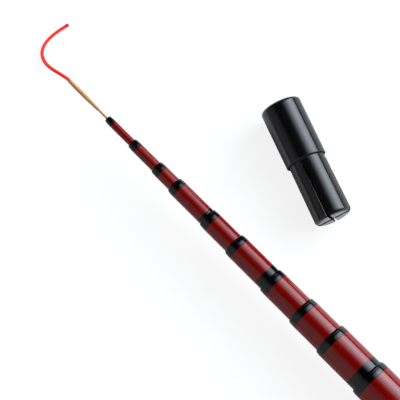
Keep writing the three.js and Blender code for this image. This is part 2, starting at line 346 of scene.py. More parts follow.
def wound_thread():
    """Close turns of thread about X, with a mask of the valleys between them for painted shade."""
    given, end = group("Wound Thread", ("Vector", "Pitch"), ("Height", "Valley"))
    place = axes(given["Vector"])["X"]
    turn = maths("FRACT", maths("DIVIDE", place, given["Pitch"]))
    off_centre = maths("ABSOLUTE", maths("SUBTRACT", turn, 0.5))
    square = times(off_centre, off_centre)
    return end(
        Height=maths("MULTIPLY_ADD", square, -4.0, 1.0),
        Valley=ramp(off_centre, 0.36, 0.5),
    )


def tape_spiral():
    """The faint spiral that the wrapping tape leaves on bare laminate, over its fibres."""
    given, end = group("Tape Spiral", ("Vector", "Pitch"), ("Height", "Fibre"))
    split = axes(given["Vector"])
    angle = maths("ARCTAN2", split["Z"], split["Y"])
    turns = maths(
        "ADD", maths("DIVIDE", split["X"], given["Pitch"]), maths("DIVIDE", angle, FULL_TURN))
    fibres = noisy(scaled(given["Vector"], 0.06, 1, 1), 5200.0)
    step = maths("FRACT", turns)
    return end(Height=maths("MULTIPLY_ADD", fibres, 0.35, step), Fibre=fibres)


def cork_figure():
    """Natural cork glued from discs: tone of each disc, grain, veins, pits and glue lines."""
    given, end = group(
        "Cork Figure", ("Vector", "Disc"), ("Tone", "Vein", "Pit", "Seam", "Height"))
    place = maths("DIVIDE", axes(given["Vector"])["X"], given["Disc"])
    disc = maths("FLOOR", place)
    shade = node("TexWhiteNoise", {"W": disc}, noise_dimensions="1D").outputs["Value"]
    own = node(
        "VectorRotate", {"Vector": given["Vector"], "Angle": times(shade, FULL_TURN)},
        rotation_type="X_AXIS").outputs["Vector"]
    grain = noisy(own, 420.0, 6.0, Roughness=0.62)
    layers = noisy(scaled(own, 0.5, 1.0, 3.2), 260.0, 4.0, Distortion=0.6)
    ragged = maths("MULTIPLY_ADD", grain, 0.5, -0.25)
    drawn_out = scaled(own, 1.0, 0.45, 1.0)

    def holes(scale, rare, width):
        """Ragged dark spots: the share of cells that have none, and the widest spot."""
        spots = cells(drawn_out, scale)
        wide = times(ramp(chance(spots, "Green"), rare, 1.0), width)
        rim = maths("SUBTRACT", spots["Distance"], wide)
        return ramp(maths("ADD", rim, ragged), -0.05, 0.05, 1.0, 0.0)

    pit = maths("MAXIMUM", holes(330.0, 0.6, 0.36), holes(1050.0, 0.5, 0.42))
    edge = maths("ABSOLUTE", maths("SUBTRACT", maths("FRACT", place), 0.5))
    seam = ramp(edge, 0.486, 0.497)
    relief = maths("MULTIPLY_ADD", pit, -1.0, times(grain, 0.55))
    speckled = ramp(grain, 0.3, 0.7, smooth=False)
    return end(
        Tone=maths("MULTIPLY_ADD", shade, 0.4, times(speckled, 0.6)),
        Vein=ramp(layers, 0.56, 0.7), Pit=pit, Seam=seam,
        Height=maths("MULTIPLY_ADD", seam, -0.4, relief),
    )


def crumb():
    """Ground cork pressed with a binder: crumbs of many tones."""
    given, end = group("Crumb", ("Vector", "Scale"), ("Tone", "Joint"))
    crumbs = cells(given["Vector"], given["Scale"])
    joints = cells(given["Vector"], given["Scale"], feature="DISTANCE_TO_EDGE")
    return end(
        Tone=chance(crumbs, "Blue"),
        Joint=ramp(joints["Distance"], 0.02, 0.09, 1.0, 0.0),
    )


class Finish:
    """A material being made, with its object coordinates and its Principled shader."""

    def __init__(self, name):
        self.material = bpy.data.materials.new(name)
        self.material.use_nodes = True
        self.tree = self.material.node_tree
        self.shader = next(n for n in self.tree.nodes if n.type == "BSDF_PRINCIPLED")
        self.place = node("TexCoord", {}, self.tree).outputs["Object"]

    def effect(self, build, **inputs):
        """Places a shared effect. Its node group is built once."""
        built = next((g for g in bpy.data.node_groups if g.get("effect") == build.__name__), None)
        if built is None:
            built = build()
            built["effect"] = build.__name__
        given = {label.replace("_", " "): value for label, value in inputs.items()}
        return node("Group", {"Vector": self.place, **given}, node_tree=built).outputs

    def attribute(self, name):
        return node("Attribute", {}, self.tree, attribute_name=name).outputs["Fac"]

    def set(self, **values):
        for label, value in values.items():
            feed(self.shader.inputs[label.replace("_", " ")], value)

    def bumped(self, height, depth):
        """Adds the finish's relief and returns its material."""
        made = node("Bump", {"Height": height, "Distance": depth, "Strength": 1.0})
        self.set(Normal=made.outputs["Normal"])
        return self.material


# Colours of dust and scratches, of the painted highlight on sharp edges, and the index of
# refraction of gloss.
DUST = (0.4, 0.4, 0.4, 1)
COOL_DUST = (0.4, 0.4, 0.42, 1)
SCRATCH = (0.5, 0.5, 0.5, 1)
EDGE_HIGHLIGHT = (0.09, 0.09, 0.095, 1)
GLOSS_IOR = 1.5


def lacquer(name, rgb):
    """Gloss lacquer: a slow ripple, rare dust, and hairlines along the rod."""
    finish = Finish(name)
    roughness, duller = 0.075, 0.105
    skin = finish.effect(lacquer_skin, Ripple_Scale=240.0, Dust_Scale=330.0)
    lines = finish.effect(hairlines, Scale=1500.0, Stretch=0.02)
    dusty = over(rgba(rgb), skin["Dust"], 0.35, DUST)
    finish.set(
        Base_Color=over(dusty, lines["Mask"], 0.02, SCRATCH),
        Roughness=ramp(skin["Sheen"], 0.0, 1.0, roughness, duller),
        IOR=GLOSS_IOR,
    )
    return finish.bumped(skin["Height"], 0.004 * MM)


def laminate(name, rgb):
    """Bare ground laminate, with its fibres and the tape's spiral."""
    finish = Finish(name)
    tape = finish.effect(tape_spiral, Pitch=3 * MM)
    finish.set(
        Base_Color=blended(tape["Fibre"], rgba(rgb, 0.6), rgba(rgb, 1.6)),
        Roughness=ramp(tape["Fibre"], 0.3, 0.7, 0.4, 0.55),
    )
    return finish.bumped(tape["Height"], 0.02 * MM)


def tan_varnish(look):
    """Tan thread under varnish, with painted shade darkening the valleys between its turns."""
    finish = Finish("tan_varnish")
    thread = finish.effect(wound_thread, Pitch=look.winding)
    skin = finish.effect(lacquer_skin, Ripple_Scale=900.0, Dust_Scale=900.0)
    shade = blended(skin["Sheen"], rgba(look.tan, 0.9), rgba(look.tan, 1.08))
    finish.set(
        # Painted shade: the valleys between the thread's turns are darkened.
        Base_Color=over(shade, thread["Valley"], 0.5, rgba(look.tan, 0.55)),
        Roughness=ramp(skin["Sheen"], 0.0, 1.0, 0.5, 0.6),
        Specular_IOR_Level=0.3,
    )
    return finish.bumped(thread["Height"], 0.012 * MM)


def red_yarn(look):
    """Knitted yarn: the stitches' crowns are bright, their gaps painted with shade, the sealed end
    darker, and the whole yarn given a painted glow.
    """
    finish = Finish("red_yarn")
    sealed = finish.attribute("sealed")
    across = node("UVMap", {}, finish.tree, uv_map="yarn").outputs["UV"]
    yarn = node("TexWave", {
        "Vector": across, "Scale": 34.0, "Distortion": 0.6, "Detail": 1.0, "Detail Scale": 3.0},
        bands_direction="DIAGONAL").outputs["Fac"]
    crown = ramp(finish.attribute("crown"), 0.1, 0.8, smooth=False)
    # Painted shade: the gaps between the stitches' crowns are darkened by the height of the knit.
    lit = blended(crown, rgba(look.gap), rgba(look.red))
    streaked = over(lit, yarn, 0.18, rgba(look.red, 0.7))
    paint = blended(sealed, streaked, rgba(look.knot))
    finish.set(
        Base_Color=paint,
        Roughness=ramp(sealed, 0.0, 1.0, 0.7, 0.4),
        Specular_IOR_Level=0.2,
        # Painted light: the yarn glows in its own colour at a fixed strength.
        Emission_Color=paint,
        Emission_Strength=look.painted_glow,
    )
    return finish.bumped(yarn, 0.02 * MM)


def natural_cork(look):
    """The grip's cork, darker in its veins, pits and glue lines and where hands have held it."""
    finish = Finish("natural_cork")
    figure = finish.effect(cork_figure, Disc=look.disc)
    pits = maths("MAXIMUM", figure["Pit"], ramp(finish.attribute("pit"), 0.35, 0.9))
    paint = blended(figure["Tone"], rgba(look.cork, 0.68), rgba(look.cork, 1.3))
    for mask, share, tone in (
            (figure["Vein"], 0.45, 1.8), (pits, 0.85, 1.0), (figure["Seam"], 0.6, 1.4)):
        paint = over(paint, mask, share, rgba(look.vein, tone))
    handled = ramp(noisy(finish.place, 22.0), 0.5, 0.75, 0.0, 0.22)
    finish.set(
        Base_Color=blended(handled, paint, rgba(look.cork, 0.6)),
        Roughness=ramp(pits, 0.0, 1.0, 0.66, 0.9),
    )
    return finish.bumped(figure["Height"], 0.12 * MM)


def composite_cork(look):
    """The dark rings at the grip's ends."""
    finish = Finish("composite_cork")
    grains = finish.effect(crumb, Scale=900.0)
    body = blended(grains["Tone"], rgba(look.ring, 0.6), rgba(look.ring, 3.0))
    finish.set(
        Base_Color=over(body, grains["Joint"], 0.5, rgba(look.ring, 0.4)),
        Roughness=ramp(grains["Tone"], 0.0, 1.0, 0.62, 0.8),
    )
    return finish.bumped(grains["Tone"], 0.03 * MM)


def turned_metal(name, rgb, worn, roughness):
    """Turned metal, with its lathe marks, and bare where an edge has worn."""
    finish = Finish(name)
    marks = finish.effect(turned_marks, Pitch=0.22 * MM)
    chafe = noisy(finish.place, 420.0, 6.0, Roughness=0.7)
    corner = ramp(finish.attribute("edge"), 0.6, 1.0)
    wear = times(corner, ramp(chafe, 0.5, 0.8))
    finish.set(
        Base_Color=over(rgba(rgb), wear, 0.35, rgba(worn)),
        Metallic=1.0,
        Roughness=ramp(chafe, 0.35, 0.65, roughness, roughness + 0.1),
    )
    return finish.bumped(marks["Height"], 0.006 * MM)


def black_anodised(look):
    """The black aluminium that the winding check and the butt cap share."""
    name = "black_anodised"
    made = bpy.data.materials.get(name)
    return made or turned_metal(name, look.black, worn=(0.16, 0.16, 0.17), roughness=0.3)


def rubber(look):
    """Moulded rubber, with a bloom of paler dust."""
    finish = Finish("moulded_rubber")
    bloom = noisy(finish.place, 500.0, 5.0)
    dusty = ramp(bloom, 0.45, 0.8)
    finish.set(
        Base_Color=blended(dusty, rgba(look.rubber), rgba(look.rubber, 2.6)),
        Roughness=ramp(bloom, 0.3, 0.7, 0.62, 0.8),
    )
    return finish.bumped(bloom, 0.03 * MM)


def moulded_black(look):
    """The plug's moulded plastic: glossy, with faint handling marks, and painted highlights on its
    sharp edges and along one slit's rim.
    """
    finish = Finish("moulded_black")
    skin = finish.effect(lacquer_skin, Ripple_Scale=170.0, Dust_Scale=260.0)
    smudge = ramp(noisy(finish.place, 130.0, 6.0, Distortion=1.2), 0.5, 0.75)
    dusty = over(rgba(look.black), skin["Dust"], 0.4, COOL_DUST)
    # Painted highlight: sharp edges are lightened where they catch the light.
    edge_highlighted = over(dusty, finish.attribute("edge"), 0.25, EDGE_HIGHLIGHT)
    finish.set(
        # Painted highlight: a pale line on one rim of the first slit.
        Base_Color=blended(finish.attribute("painted_rim_highlight"), edge_highlighted, rgba(look.painted_rim_highlight)),
        Roughness=ramp(smudge, 0.0, 1.0, 0.17, 0.28),
        IOR=GLOSS_IOR,
    )
    return finish.bumped(skin["Height"], 0.006 * MM)


def cut_plastic(name, rgb, roughness, specular):
    """Plastic that was sawn or ground, with the marks of the tool."""
    finish = Finish(name)
    marks = noisy(finish.place, 900.0, 4.0)
    tone = ramp(marks, 0.35, 0.65)
    finish.set(
        Base_Color=blended(tone, rgba(rgb, 0.85), rgba(rgb, 1.15)),
        Roughness=ramp(marks, 0.3, 0.7, *roughness),
        Specular_IOR_Level=specular,
    )
    return finish.bumped(marks, 0.01 * MM)


# Mesh building

# Faces round the CAD model's pieces and round the scene's own.
CAD_SIDES = 24
SHAFT_SIDES = 40
SLEEVE_SIDES = 48
RUBBER_SIDES = 72
TURNED_SIDES = 96
PLUG_SIDES = 240

# Gap left where one piece sits in another.
FIT = 0.02 * MM


def arc(x, radius, along, inward, steps=3):
    """Points of a quarter ellipse that leaves the outside at radius and ends on the face at x.

    A negative along rounds an edge at the rear end of a piece, in reverse order.
    """
    points = []
    for step in range(steps + 1):
        angle = math.radians(90 * step / steps)
        points.append((x - along * (1 - math.sin(angle)), radius - inward * (1 - math.cos(angle))))
    return points if along > 0 else points[::-1]


def through(knots, steps):
    """A smooth outline through (x, radius) knots that never swings past them."""
    slopes = [(b[1] - a[1]) / (b[0] - a[0]) for a, b in zip(knots, knots[1:])]
    tangents = [slopes[0]]
    for before, after in zip(slopes, slopes[1:]):
        rising = before * after > 0
        tangents.append(2 * before * after / (before + after) if rising else 0.0)
    tangents.append(slopes[-1])
    points = [knots[0]]
    for (a, b), ta, tb in zip(zip(knots, knots[1:]), tangents, tangents[1:]):
        span, rise = b[0] - a[0], b[1] - a[1]
        for step in range(1, steps + 1):
            t = step / steps
            ease = t * t * (3 - 2 * t)
            value = a[1] + rise * ease + span * (
                ta * (t ** 3 - 2 * t ** 2 + t) + tb * (t ** 3 - t ** 2))
            points.append((a[0] + span * t, value))
    return points


def between(outline, x):
    """The radius of an outline at x."""
    for (x0, r0), (x1, r1) in zip(outline, outline[1:]):
        if x0 <= x <= x1:
            return r0 + (r1 - r0) * (x - x0) / (x1 - x0)
    return outline[-1][1]


def braced(outline, closed):
    """Adds a point near each end of a long stretch, which keeps its shading straight."""
    hold = 0.25 * MM
    points = []
    ends = outline[1:] + (outline[:1] if closed else [])
    for (x0, r0), (x1, r1) in zip(outline, ends):
        points.append((x0, r0))
        length = math.hypot(x1 - x0, r1 - r0)
        if length > 3 * hold:
            share = hold / length
            points.append((x0 + (x1 - x0) * share, r0 + (r1 - r0) * share))
            points.append((x1 - (x1 - x0) * share, r1 - (r1 - r0) * share))
    return points if closed else points + outline[-1:]


def spun(outline, sides, closed=False):
    """Spins an outline of (x, radius) about X. A closed outline is a ring's section."""
    bm = bmesh.new()
    outline = braced(outline, closed)
    verts = [bm.verts.new((x, 0.0, radius)) for x, radius in outline]
    pairs = list(zip(verts, verts[1:]))
    if closed:
        pairs.append((verts[-1], verts[0]))
    edges = [bm.edges.new(pair) for pair in pairs]
    bmesh.ops.spin(
        bm, geom=verts + edges, cent=(0, 0, 0), axis=(1, 0, 0), angle=FULL_TURN, steps=sides,
        use_merge=True, use_normal_flip=False, use_duplicate=False)
    bmesh.ops.remove_doubles(bm, verts=bm.verts, dist=1e-7)
    bmesh.ops.recalc_face_normals(bm, faces=bm.faces)
    return bm


def spread(vert):
    """How sharp the mesh is at a vertex, in degrees."""
    angles = [e.calc_face_angle(0.0) for e in vert.link_edges]
    return math.degrees(max(angles, default=0.0))


def in_scene(name, data):
    """Adds an object to the scene."""
    made = bpy.data.objects.new(name, data)
    bpy.context.scene.collection.objects.link(made)
    return made


def as_object(bm, name):
    """Ends a bmesh as a mesh object in the scene."""
    mesh = bpy.data.meshes.new(name)
    bm.to_mesh(mesh)
    bm.free()
    return in_scene(name, mesh)


def finished(bm, name, body, nodes, materials, sharp=32.0, planar=()):
    """Ends a piece: shading, the edge attribute, materials, and its place in the assembly.

    Bends sharper than sharp, in degrees, are shaded as corners, and the faces of the planar
    materials are shaded flat.
    """
    edge = bm.verts.layers.float.new("edge")
    full_edge = 45.0
    for vert in bm.verts:
        vert[edge] = min(1.0, spread(vert) / full_edge)
    for face in bm.faces:
        face.smooth = face.material_index not in planar
    for bend in bm.edges:
        bend.smooth = bend.calc_face_angle(0.0) < math.radians(sharp)
    piece = as_object(bm, name)
    for material in materials:
        piece.data.materials.append(material)
    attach(piece, body)
    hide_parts(*nodes)
    return piece


def radius_of(point):
    return math.hypot(point.y, point.z)


def press(vert, depth):
    """Moves a vertex towards the axis."""
    share = 1 - depth / radius_of(vert.co)
    vert.co.y *= share
    vert.co.z *= share


def flat_bore(node_name):
    """The radius of a CAD node's bore at its narrowest, measured to its flats."""
    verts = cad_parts[node_name].data.vertices
    return min(radius_of(v.co) for v in verts) * math.cos(math.pi / CAD_SIDES)


def tube_measures(name, look):
    """A tube's ends, its outside and bore as functions of x, and the ends of its wrap."""
    low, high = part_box(f"{name}_tube")
    wrap_low, wrap_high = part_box(f"{name}_red_wrap")

    def outside(x):
        return high.z - look.taper * (x - low.x)

    bore_front = flat_bore(f"{name}_tube")

    def bore(x):
        return bore_front + look.taper * (high.x - x)

    return low.x, high.x, outside, bore, wrap_low.x, wrap_high.x


def handle_outside(look):
    return tube_measures("handle", look)[2]


# Places of the materials on a tube, after its lacquer.
GROUND_JOINT, BARE_BORE = 1, 2


def tube(name, look, materials):
    butt, front, outside, bore, wrap_rear, wrap_front = tube_measures(name, look)
    wall = outside(front) - bore(front)
    skin = wall / 10
    seat_rear = wrap_rear - look.glue_line
    seat_front = wrap_front + look.glue_line
    depth = look.wrap_depth + look.glue_line
    ground = butt + look.ground_joint
    chamfer = 0.12 * MM
    lip_start = front - look.lip
    band = lip_start - seat_front

    def crowned(share):
        return outside(front) - look.band_crown * share ** 4

    crown_steps = lip_steps = 8
    crown = [
        (seat_front + band * step / crown_steps, crowned(step / crown_steps))
        for step in range(1, crown_steps)]
    lip = arc(front, crowned(1), look.lip, wall * look.lip_drop - look.band_crown, lip_steps)
    outline = [
        (butt, bore(butt) + chamfer), (butt, outside(butt) - chamfer),
        (butt + chamfer, outside(butt + chamfer)), (ground, outside(ground)),
        (seat_rear, outside(seat_rear)), (seat_rear, outside(seat_rear) - depth),
        (seat_front, outside(seat_front) - depth), (seat_front, outside(seat_front)),
        *crown, *lip,
        (front, bore(front) + chamfer / 2), (front - chamfer / 2, bore(front)),
        (butt + chamfer, bore(butt)),
    ]
    bm = spun(outline, look.sides, closed=True)
    for face in bm.faces:
        centre = face.calc_center_median()
        if radius_of(centre) < bore(centre.x) + skin:
            face.material_index = BARE_BORE
        elif centre.x < ground:
            face.material_index = GROUND_JOINT
    finished(bm, f"{name}_lacquered_tube", name, [f"{name}_tube"], materials)


def wrap(name, look, materials):
    _, _, outside, _, wrap_rear, wrap_front = tube_measures(name, look)
    edge = 0.05 * MM
    outline = [
        (wrap_rear, outside(wrap_rear) - look.wrap_depth),
        *arc(wrap_rear, outside(wrap_rear), -edge, edge),
        *arc(wrap_front, outside(wrap_front), edge, edge),
        (wrap_front, outside(wrap_front) - look.wrap_depth),
    ]
    bm = spun(outline, look.sides, closed=True)
    finished(bm, f"{name}_red_band", name, [f"{name}_red_wrap"], materials)


# The lilian

# Points of the lilian's centreline, from the sleeve's front end, in millimetres.
LILIAN_ROUTE = [
    (0.3, 0, 0), (1.6, 0, 0), (3.6, 0.3, -0.25), (7, 0.7, -1.6), (10.4, 0.72, -4.5),
    (13.95, 0.4, -8.15), (17.4, -0.15, -11.05), (20.5, -1.05, -12.4), (22.95, -2.45, -12.68),
    (24.75, -4.6, -12.68), (25.85, -7.3, -12.68), (26.3, -10.35, -12.68), (26.33, -13.4, -12.68),
    (26.05, -16.42, -12.68), (25.55, -19.22, -12.62), (25.25, -20.92, -12.48),
]
KNIT_COLUMNS = 4


def curved_line(points, spacing):
    """Even points on a smooth curve through the given ones."""
    dense = []
    ends = [points[0] * 2 - points[1]] + points + [points[-1] * 2 - points[-2]]
    steps = 24
    for a, b, c, d in zip(ends, ends[1:], ends[2:], ends[3:]):
        for step in range(steps):
            t = step / steps
            dense.append(0.5 * (
                2 * b + (c - a) * t + (2 * a - 5 * b + 4 * c - d) * t ** 2
                + (3 * b - a - 3 * c + d) * t ** 3))
    dense.append(points[-1])
    lengths = [0.0]
    for a, b in zip(dense, dense[1:]):
        lengths.append(lengths[-1] + (b - a).length)
    count = round(lengths[-1] / spacing)
    even, at = [], 0
    for step in range(count + 1):
        wanted = lengths[-1] * step / count
        while at < len(lengths) - 2 and lengths[at + 1] < wanted:
            at += 1
        share = (wanted - lengths[at]) / (lengths[at + 1] - lengths[at])
        even.append(dense[at].lerp(dense[at + 1], min(1.0, share)))
    return even


def measured(line):
    return sum((b - a).length for a, b in zip(line, line[1:]))


def knitted(turn, length, look):
    """Height, from 0 to 1, of a knitted tube: columns of V-shaped loops with furrows between."""
    lean, roundness, foot = 0.8, 0.7, 0.25
    furrow_width, cleft_width, cleft_foot = 0.55, 0.3, 0.6
    across = (KNIT_COLUMNS * turn + length / look.twist + look.first_column) % 1
    leg = abs(across - 0.5) * 2
    crest = math.sin(math.pi * ((length / look.stitch - leg * lean) % 1)) ** roundness
    furrow = min(1.0, (1 - leg) / furrow_width)
    cleft = min(1.0, cleft_foot + leg / cleft_width)
    return (foot + (1 - foot) * crest) * furrow * cleft


def lilian_radius(left, look):
    """The cord's radius a given length before its end: even, a neck, then the sealed knot."""
    knot, cord = look.knot_width / 2, look.width / 2
    neck_share = 0.96
    if left > 3 * knot:
        return cord
    if left > 2 * knot:
        return cord * (neck_share + (1 - neck_share) * (left / knot - 2))
    height = left / knot - 1
    ball = knot * math.sqrt(max(0.0, 1 - height * height))
    return max(ball, cord * neck_share * min(1.0, max(0.0, height * 2)))


def lilian_mesh(line, look):
    """The knitted tube along the line, with its crown and sealed attributes and its UV map."""
    around = 64
    even_height, seal_keeps, seal_start, thinnest = 0.8, 0.3, 1.2, 0.05 * MM
    bm = bmesh.new()
    crown = bm.verts.layers.float.new("crown")
    sealed = bm.verts.layers.float.new("sealed")
    yarn = bm.loops.layers.uv.new("yarn")
    spacing = (line[1] - line[0]).length
    total = spacing * (len(line) - 1)
    side = Vector((0, 1, 0))
    rings = []
    for index, centre in enumerate(line):
        ahead = line[min(index + 1, len(line) - 1)]
        behind = line[max(index - 1, 0)]
        along = (ahead - behind).normalized()
        side = (side - along * side.dot(along)).normalized()
        up = along.cross(side)
        length = spacing * index
        left = total - length
        radius = lilian_radius(left, look)
        seal = min(1.0, max(0.0, seal_start - left / look.knot_width))
        ring = []
        for step in range(around):
            turn = step / around
            height = knitted(turn, length, look)
            relief = look.relief * (height - even_height) * (1 - (1 - seal_keeps) * seal)
            away = side * math.cos(turn * FULL_TURN) + up * math.sin(turn * FULL_TURN)
            vert = bm.verts.new(centre + away * max(radius + relief, thinnest))
            vert[crown] = height
            vert[sealed] = seal
            ring.append(vert)
        rings.append(ring)
    girth = FULL_TURN * look.width
    corners = ((0, 0), (1, 0), (1, 1), (0, 1))
    for index in range(len(rings) - 1):
        for step in range(around):
            face = bm.faces.new(
                rings[index + ahead][(step + turn) % around] for turn, ahead in corners)
            for loop, (turn, ahead) in zip(face.loops, corners):
                loop[yarn].uv = ((step + turn) / around, (index + ahead) * spacing / girth)
    for ring in (rings[0], rings[-1]):
        bm.faces.new(ring)
    bmesh.ops.recalc_face_normals(bm, faces=bm.faces)
    return bm


def build_lilian(look):
    start = Vector((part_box("lilian_sleeve")[1].x, 0, 0))
    spacing = 0.07 * MM
    line = curved_line([start + Vector(point) * MM for point in LILIAN_ROUTE], spacing)
    onward = (line[-1] - line[-2]).normalized()
    knot = look.knot_width / 2
    steps = 9
    line += [line[-1] + onward * knot * step / steps for step in range(1, steps + 1)]
    line = curved_line(line, spacing)
    piece = finished(
        lilian_mesh(line, look), "lilian_braid", "tip", ["lilian"],
        [red_yarn(look)], sharp=80)
    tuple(line[0])
    measured(line)


# The tip section and its sleeve

# Shares of the sleeve's length, and of its swell from the rear radius to the widest.
SLEEVE_SHARES = [(0, 0), (0.18, 0.42), (0.4, 0.88), (0.55, 1), (0.75, 1)]
SLEEVE_REAR = 0.76 * MM
SLEEVE_FRONT = 0.97 * MM


def build_tip(look, lilian_look):
    varnish = tan_varnish(look)
    low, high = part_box("tip_rod")
    edge = 0.1 * MM

    def radius(x):
        return high.z - look.taper * (x - low.x)

    shaft = [
        (low.x, 0), *arc(low.x, radius(low.x), -edge, edge),
        *arc(high.x, radius(high.x), edge, edge), (high.x, 0)]
    finished(spun(shaft, SHAFT_SIDES), "tip_shaft", "tip", ["tip_rod"], [varnish])

    rear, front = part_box("lilian_sleeve")
    length, swell = front.x - rear.x, front.z - SLEEVE_REAR
    knots = [
        (rear.x + length * along, SLEEVE_REAR + swell * share) for along, share in SLEEVE_SHARES]
    knots.append((front.x, SLEEVE_FRONT))
    mouth = lilian_look.width / 2 + FIT
    inside = radius(rear.x) + FIT
    round_edge = 0.12 * MM
    side = [
        point for point in through(knots, steps=7)
        if rear.x + round_edge < point[0] < front.x - round_edge]
    outline = [
        (rear.x + round_edge, inside), (rear.x, inside + round_edge / 2),
        *arc(rear.x, SLEEVE_REAR, -round_edge, round_edge), *side,
        (front.x - round_edge / 2, SLEEVE_FRONT), (front.x, (SLEEVE_FRONT + mouth) / 2),
        (front.x - round_edge / 2, mouth), (front.x - look.mouth_depth, mouth),
        (front.x - look.mouth_depth, 0.0), (high.x + edge, 0.0), (high.x + edge, inside)]
    finished(
        spun(outline, SLEEVE_SIDES, closed=True), "lilian_sleeve_whipping", "tip",
        ["lilian_sleeve"], [varnish])


# The grip

# Shares of the cork's length where its outline turns: rear swell, waist and front swell.
REAR_SWELL = (0.05, 0.1)
WAIST = (0.42, 0.6)
FRONT_SWELL = (0.9, 0.94)
CORK_REAR, CORK_WAIST, CORK_FRONT = 12.8 * MM, 12.3 * MM, 11.6 * MM


def pit_depth(point):
    """Depth, from 0 to 1, of the larger pits and cracks at a place on the cork."""
    spots_per_metre, rare, narrow, widens = 260, 0.05, 0.16, 0.2
    spot = Vector((point.x * 1.1, point.y, point.z * 0.8)) * spots_per_metre
    distances, _ = noise.voronoi(spot, distance_metric="DISTANCE")
    luck = noise.noise(spot * 0.37 + Vector((7.3, 1.9, 4.4)))
    width = narrow + widens * max(0.0, luck)
    pit = max(0.0, 1 - distances[0] / width) if luck > rare else 0.0
    cracks_per_metre, drawn_out, octaves, crack_start, steepness = 240, 6, 3, 0.9, 2
    along = Vector((point.x / drawn_out, point.y, point.z)) * cracks_per_metre
    crack = noise.turbulence_vector(along, octaves, False)
    return min(1.0, pit + max(0.0, abs(crack.x) - crack_start) * steepness)


def build_cork(look, tubes):
    low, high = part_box("cork_grip")
    length, swell = high.x - low.x, high.z
    bore = handle_outside(tubes)(low.x) + tubes.glue_line
    knots = [(low.x, CORK_REAR)]
    for shares, radius in ((REAR_SWELL, swell), (WAIST, CORK_WAIST), (FRONT_SWELL, swell)):
        knots += [(low.x + length * share, radius) for share in shares]
    knots.append((high.x, CORK_FRONT))
    edge = 0.2 * MM
    surface = through(knots, steps=12)
    count = round(length / look.grain)
    even = [low.x + edge + (length - 2 * edge) * step / count for step in range(count + 1)]
    outline = [
        (low.x, bore), (low.x, CORK_REAR - edge), *[(x, between(surface, x)) for x in even],
        (high.x, CORK_FRONT - edge), (high.x, bore)]
    bm = spun(outline, round(FULL_TURN * swell / look.grain), closed=True)
    layer = bm.verts.layers.float.new("pit")
    for vert in bm.verts:
        if low.x + edge < vert.co.x < high.x - edge and radius_of(vert.co) > bore + edge:
            vert[layer] = pit_depth(vert.co)
            press(vert, look.pit * vert[layer])
    finished(bm, "cork_body", "handle", ["cork_grip"], [natural_cork(look)], sharp=60)


def build_rings(look, tubes):
    material = composite_cork(look)
    edge, drop = 0.6 * MM, 0.5 * MM
    for name in ("grip_butt_ring", "grip_front_ring"):
        low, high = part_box(name)
        bore = handle_outside(tubes)(low.x) + tubes.glue_line
        if name == "grip_butt_ring":
            outer = [*arc(low.x, CORK_REAR, -edge, edge, steps=5), (high.x, CORK_REAR)]
        else:
            outer = [(low.x, CORK_FRONT), *arc(high.x, CORK_FRONT - drop, edge * 2, edge, steps=6)]
        outline = [(low.x, bore), *outer, (high.x, bore)]
        finished(
            spun(outline, TURNED_SIDES, closed=True), f"{name}_burl", "handle",
            [name], [material])


def build_check(cap, tubes):
    low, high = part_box("winding_check")
    handle = handle_outside(tubes)
    bore = handle(low.x) + tubes.glue_line
    wall, lip, edge, groove = 0.5 * MM, 1.5 * MM, 0.18 * MM, 0.35 * MM
    rear_radius = high.z
    front_radius = handle(high.x) + wall
    slope_start = low.x + lip
    slope = [
        (slope_start, rear_radius - groove), (slope_start + groove, rear_radius - groove),
        (high.x - lip, front_radius + groove), (high.x - edge, front_radius)]
    outline = [
        (low.x, bore), *arc(low.x, rear_radius, -edge, edge),
        *arc(slope_start, rear_radius, edge, edge), *slope,
        *arc(high.x, front_radius, edge, edge), (high.x, bore)]
    finished(
        spun(outline, TURNED_SIDES, closed=True), "winding_check_turned", "handle",
        ["winding_check"], [black_anodised(cap)])


# The butt

def thread_outline(start, end, crest, depth, pitch):
    """A thread as a row of ridges on a rod or, with a negative depth, in a bore."""
    flat = pitch / 8
    points = []
    x = start
    while x + pitch <= end:
        points += [
            (x, crest - depth), (x + pitch / 2 - flat, crest), (x + pitch / 2 + flat, crest)]
        x += pitch
    return points + [(x, crest - depth)]


def build_insert(look):
    low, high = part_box("threaded_insert")
    bore = flat_bore("threaded_insert")
    pocket_depth, pocket_wall, edge = 2.2 * MM, 0.55 * MM, 0.2 * MM
    pocket = high.z - pocket_wall
    ridges = thread_outline(
        low.x + pocket_depth + edge, high.x - edge, bore, -look.thread_depth / 2,
        look.thread_pitch)
    outline = [
        (low.x, pocket), (low.x, high.z - edge), (low.x + edge, high.z), (high.x - edge, high.z),
        (high.x, high.z - edge), (high.x, bore + edge), *ridges[::-1],
        (low.x + pocket_depth, bore + edge), (low.x + pocket_depth, pocket)]
    brass = turned_metal("turned_brass", look.brass, worn=(0.8, 0.6, 0.25), roughness=0.22)
    finished(
        spun(outline, TURNED_SIDES, closed=True), "threaded_brass_insert", "handle",
        ["threaded_insert"], [brass])


# Corners of the ring sunk in an end face, as shares of its radius, in the outline's order.
CAP_RING = (0.62, 0.66, 0.7)
PAD_RING = (0.62, 0.58, 0.5, 0.46)


